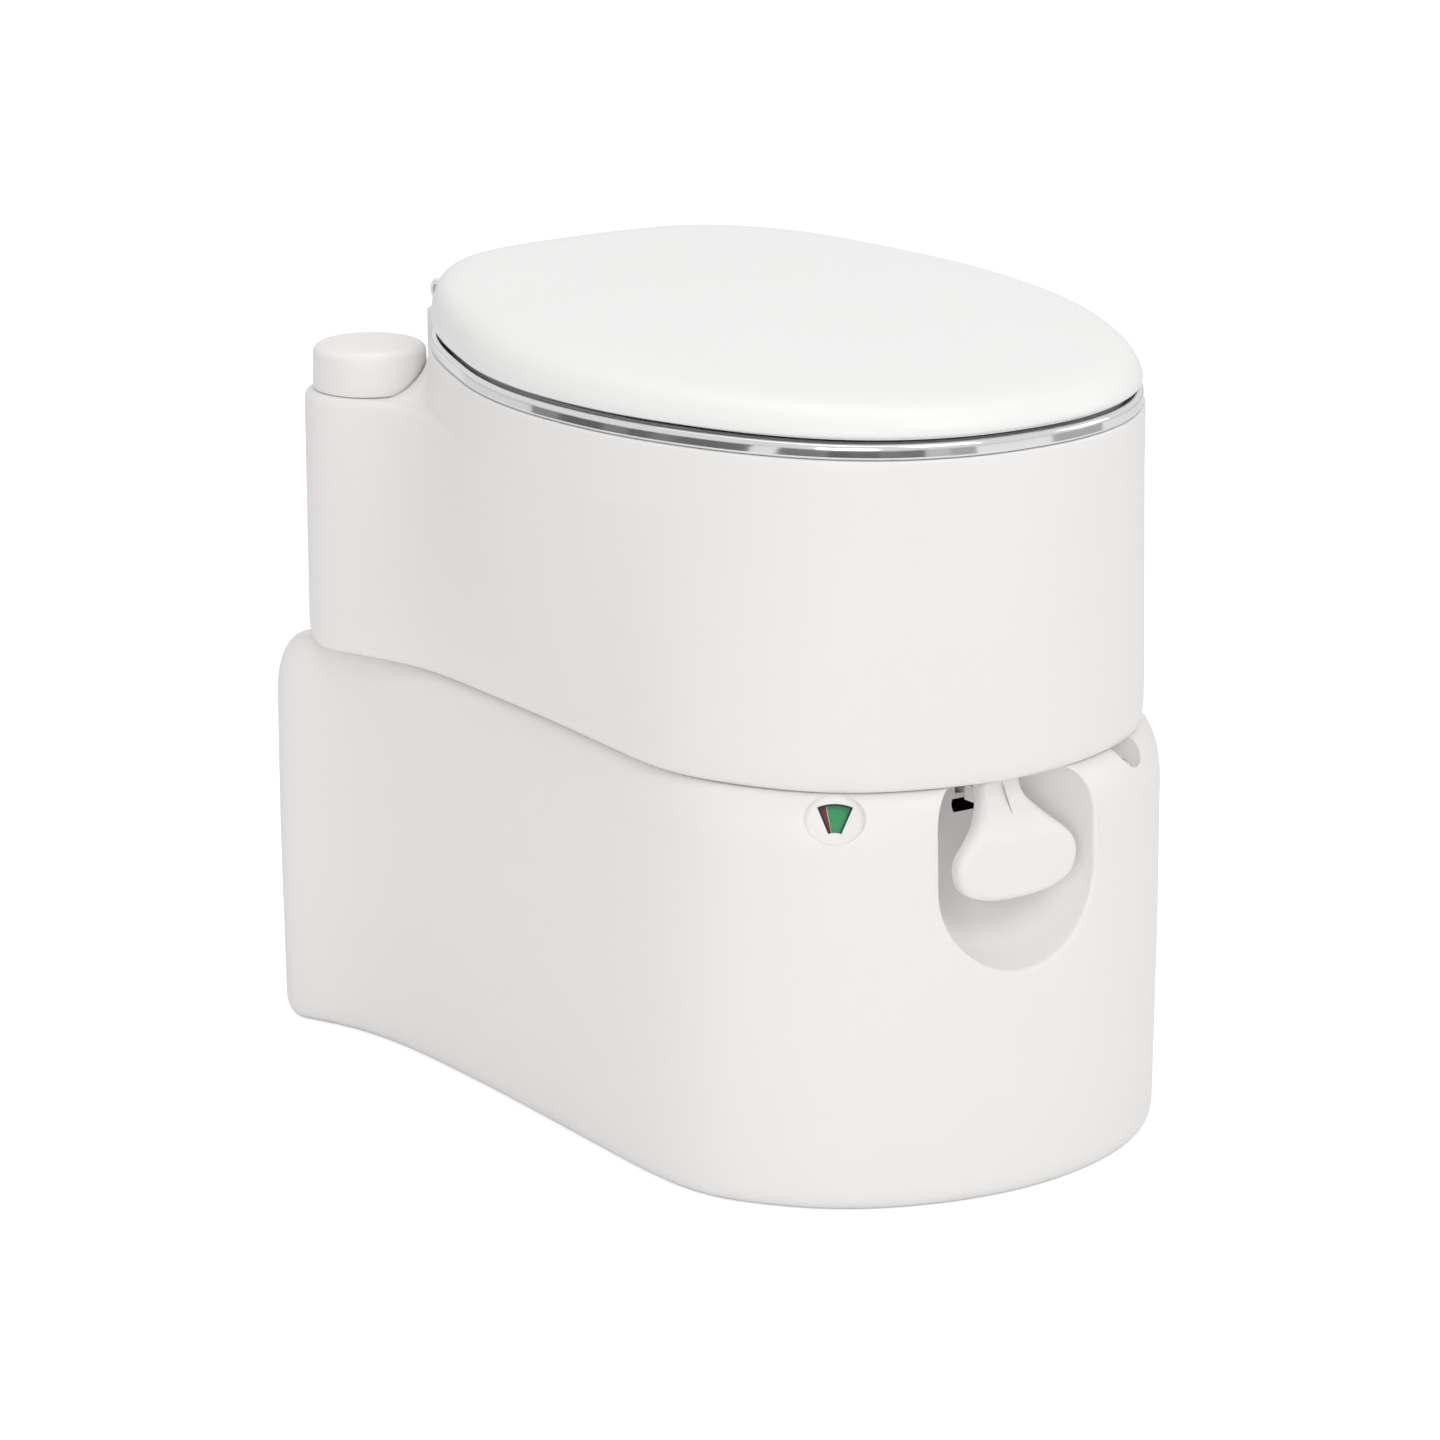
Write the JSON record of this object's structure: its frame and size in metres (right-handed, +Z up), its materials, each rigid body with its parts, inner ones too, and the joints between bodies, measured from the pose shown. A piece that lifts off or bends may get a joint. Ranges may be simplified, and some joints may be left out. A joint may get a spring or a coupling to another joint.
{
  "type": "camping toilet",
  "caption": "Portable flush toilet for camping: waste tank with slide valve and swivel spout below, flush tank with pump, bowl, seat and lid lifting off above.",
  "frame": {"origin": "centre of the bounding box in plan, at the base", "axes": "+Z up, front towards -Y, +X to the right of someone who faces the front"},
  "size_m": [0.303, 0.4259, 0.3823],
  "materials": {
    "white_plastic": "satin moulded",
    "grey_plastic": "moulded",
    "green_plastic": "printed green and red",
    "clear_plastic": "clear",
    "dark_rubber": "moulded",
    "chrome_trim": "plated",
    "steel": "plain"
  },
  "bodies": {
    "waste_tank": {"waste_tank": "white_plastic", "valve_frame": "grey_plastic", "valve_cover": "white_plastic", "blade_seal": "dark_rubber", "mouth_seal": "dark_rubber", "indicator_lens": "clear_plastic", "spindle_bush": "grey_plastic", "spout_retainer": "grey_plastic", "vent_spring": "steel", "valve_screw_1": "steel", "valve_screw_2": "steel", "valve_screw_3": "steel", "valve_screw_4": "steel"},
    "slide_valve": {"slide_blade": "grey_plastic", "valve_handle": "white_plastic"},
    "level_float": {"indicator_dial": "green_plastic", "float_spindle": "grey_plastic", "float_arm": "grey_plastic", "float": "white_plastic"},
    "vent_button": {"vent_button": "white_plastic", "vent_plug": "dark_rubber"},
    "pour_spout": {"pour_spout": "grey_plastic", "spout_o_ring": "dark_rubber"},
    "spout_cap_seal": {"spout_cap_seal": "dark_rubber"},
    "spout_cap": {"spout_cap": "grey_plastic"},
    "dock_latch": {"dock_latch": "grey_plastic"},
    "upper_unit": {"flush_tank": "white_plastic", "trim_ring": "chrome_trim", "hinge_bracket_left": "white_plastic", "hinge_bracket_right": "white_plastic", "hinge_pin_left": "steel", "hinge_pin_right": "steel", "pump_cylinder": "grey_plastic", "pump_collar": "white_plastic", "pump_foot_valve": "grey_plastic", "rinse_hose": "grey_plastic", "rinse_nozzle": "grey_plastic"},
    "seat": {"seat": "white_plastic", "seat_bumper_1": "dark_rubber", "seat_bumper_2": "dark_rubber", "seat_bumper_3": "dark_rubber", "seat_bumper_4": "dark_rubber"},
    "lid": {"lid": "white_plastic", "lid_bumper_1": "dark_rubber", "lid_bumper_2": "dark_rubber"},
    "filler_cap_seal": {"filler_cap_seal": "dark_rubber"},
    "filler_cap": {"filler_cap": "white_plastic"},
    "pump": {"pump_knob": "white_plastic", "pump_rod": "grey_plastic", "pump_piston": "grey_plastic", "piston_seal": "dark_rubber"}
  },
  "joints": [
    {"name": "upper_lift", "type": "slide", "parent": "waste_tank", "child": "upper_unit", "axis": [0, 0, 1], "range_m": [0, 0.06]},
    {"name": "seat_hinge", "type": "hinge", "parent": "upper_unit", "child": "seat", "pos_m": [0, 0.18, 0.3588], "axis": [-1, 0, 0], "range_deg": [0, 90]},
    {"name": "lid_hinge", "type": "hinge", "parent": "seat", "child": "lid", "pos_m": [0, 0.18, 0.3588], "axis": [-1, 0, 0], "range_deg": [0, 95]},
    {"name": "filler_cap_lift", "type": "slide", "parent": "upper_unit", "child": "filler_cap_seal", "axis": [0, 0, 1], "range_m": [0, 0.03]},
    {"name": "filler_cap_turn", "type": "hinge", "parent": "filler_cap_seal", "child": "filler_cap", "pos_m": [-0.115, 0.16425, 0.3206], "axis": [0, 0, 1], "range_deg": [0, 360]},
    {"name": "pump_stroke", "type": "slide", "parent": "upper_unit", "child": "pump", "axis": [0, 0, 1], "range_m": [0, 0.05]},
    {"name": "valve_slide", "type": "slide", "parent": "waste_tank", "child": "slide_valve", "axis": [0, -1, 0], "range_m": [0, 0.1]},
    {"name": "float_swing", "type": "hinge", "parent": "waste_tank", "child": "level_float", "pos_m": [-0.09081, -0.18489, 0.17272], "axis": [0.5454, 0.7238, -0.4226], "range_deg": [0, 36]},
    {"name": "vent_press", "type": "slide", "parent": "waste_tank", "child": "vent_button", "axis": [0, 0, -1], "range_m": [0, 0.003], "stiffness_N_per_m": 250, "springref_m": -0.004, "deforming": ["vent_spring"]},
    {"name": "spout_swivel", "type": "hinge", "parent": "waste_tank", "child": "pour_spout", "pos_m": [0.092, 0.181, 0.128], "axis": [0, 0, -1], "range_deg": [0, 90]},
    {"name": "spout_cap_pull", "type": "slide", "parent": "pour_spout", "child": "spout_cap_seal", "axis": [-1, 0, 0], "range_m": [0, 0.03]},
    {"name": "spout_cap_turn", "type": "hinge", "parent": "spout_cap_seal", "child": "spout_cap", "pos_m": [0.002, 0.181, 0.1613], "axis": [-1, 0, 0], "range_deg": [0, 360]},
    {"name": "dock_latch_slide", "type": "slide", "parent": "waste_tank", "child": "dock_latch", "axis": [0, -1, 0], "range_m": [0, 0.007]}
  ]
}
